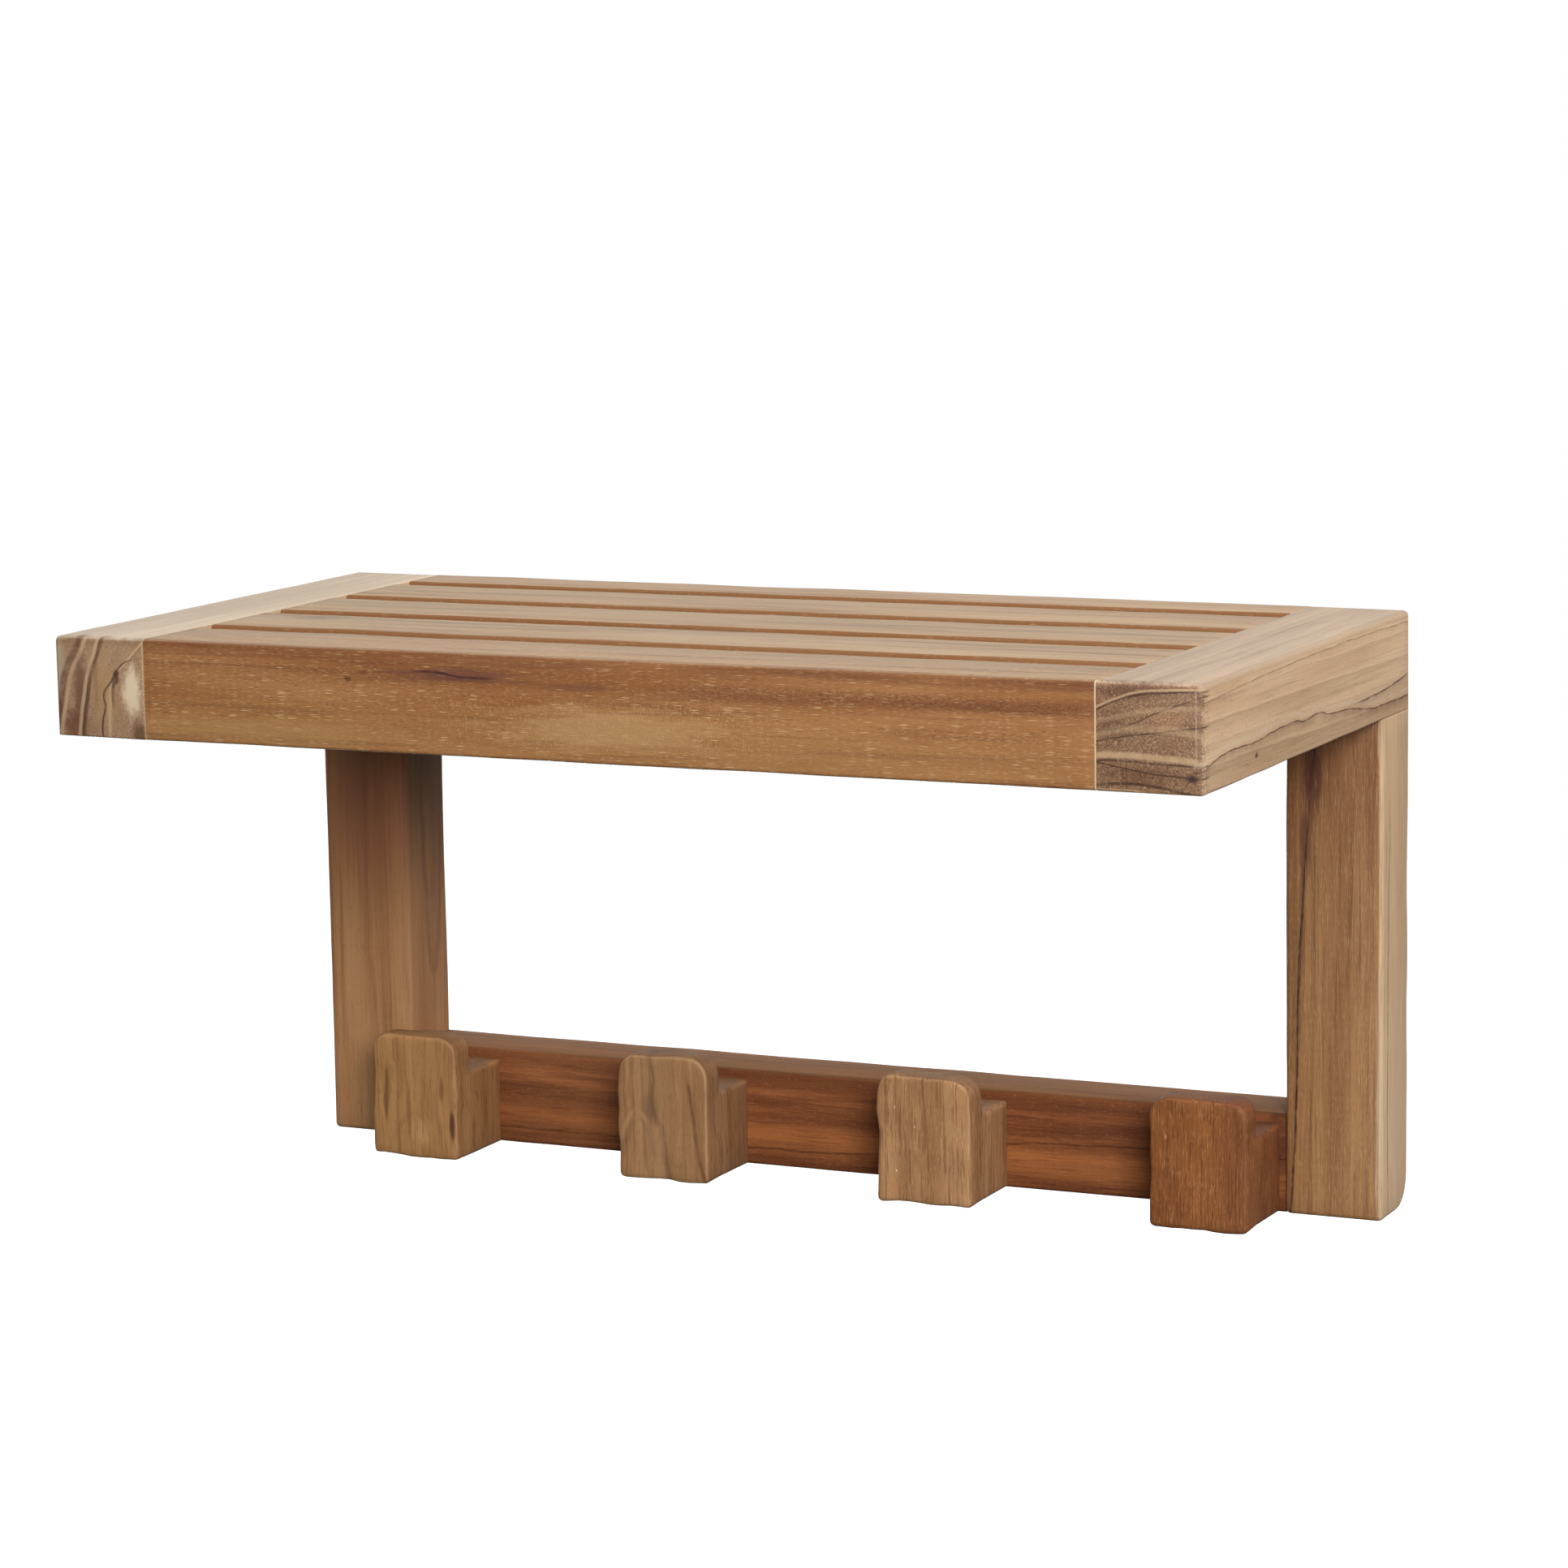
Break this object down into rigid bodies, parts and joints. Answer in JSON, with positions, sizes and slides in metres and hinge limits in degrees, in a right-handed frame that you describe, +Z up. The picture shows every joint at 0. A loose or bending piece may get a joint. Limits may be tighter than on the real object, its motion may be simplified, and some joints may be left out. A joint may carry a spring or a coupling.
{
  "type": "slatted wall shelf with hooks",
  "caption": "Slatted teak wall shelf: a flat slatted top on two uprights joined by a low rail that carries square hooks for towels or robes.",
  "frame": {"origin": "centre of the back rail's rear face, on the wall plane", "axes": "+X to the viewer's right along the shelf, +Y into the wall, +Z up"},
  "size_m": [0.508, 0.254, 0.256],
  "materials": {
    "side_rail_teak": "sanded, bare or lightly oiled teak, pale tan with brown streaks, matt",
    "front_rail_teak": "sanded, lightly oiled teak, golden brown with short pale flecks, satin",
    "slat_teak": "sanded, lightly oiled teak, pale tan, matt",
    "upright_teak": "sanded, lightly oiled teak, mid brown, satin",
    "hook_rail_teak": "sanded, lightly oiled teak, dark reddish brown, satin",
    "hook_1_teak": "sanded teak, mid brown, satin",
    "hook_2_teak": "sanded teak, mid brown with a swirl, satin",
    "hook_3_teak": "sanded teak, light brown with straight stripes, satin",
    "hook_4_teak": "sanded teak, reddish brown, satin",
    "dowel_wood": "plain pale hardwood dowel, matt",
    "stainless_steel": "brushed stainless steel"
  },
  "bodies": {
    "root": {"left_side_rail": "side_rail_teak", "right_side_rail": "side_rail_teak", "front_rail": "front_rail_teak", "back_rail": "slat_teak", "slat_1": "slat_teak", "slat_2": "slat_teak", "slat_3": "slat_teak", "left_upright": "upright_teak", "right_upright": "upright_teak", "hook_rail": "hook_rail_teak", "hook_1": "hook_1_teak", "hook_2": "hook_2_teak", "hook_3": "hook_3_teak", "hook_4": "hook_4_teak", "front_rail_dowel_1": "dowel_wood", "front_rail_dowel_2": "dowel_wood", "front_rail_dowel_3": "dowel_wood", "front_rail_dowel_4": "dowel_wood", "back_rail_dowel_1": "dowel_wood", "back_rail_dowel_2": "dowel_wood", "back_rail_dowel_3": "dowel_wood", "back_rail_dowel_4": "dowel_wood", "upright_dowel_1": "dowel_wood", "upright_dowel_2": "dowel_wood", "upright_dowel_3": "dowel_wood", "upright_dowel_4": "dowel_wood", "hook_rail_dowel_1": "dowel_wood", "hook_rail_dowel_2": "dowel_wood", "hook_rail_dowel_3": "dowel_wood", "hook_rail_dowel_4": "dowel_wood", "hook_screw_1": "stainless_steel", "hook_screw_2": "stainless_steel", "hook_screw_3": "stainless_steel", "hook_screw_4": "stainless_steel", "hook_screw_5": "stainless_steel", "hook_screw_6": "stainless_steel", "hook_screw_7": "stainless_steel", "hook_screw_8": "stainless_steel", "left_hanger_plate": "stainless_steel", "left_hanger_screw_upper": "stainless_steel", "left_hanger_screw_lower": "stainless_steel", "right_hanger_plate": "stainless_steel", "right_hanger_screw_upper": "stainless_steel", "right_hanger_screw_lower": "stainless_steel"}
  },
  "joints": []
}
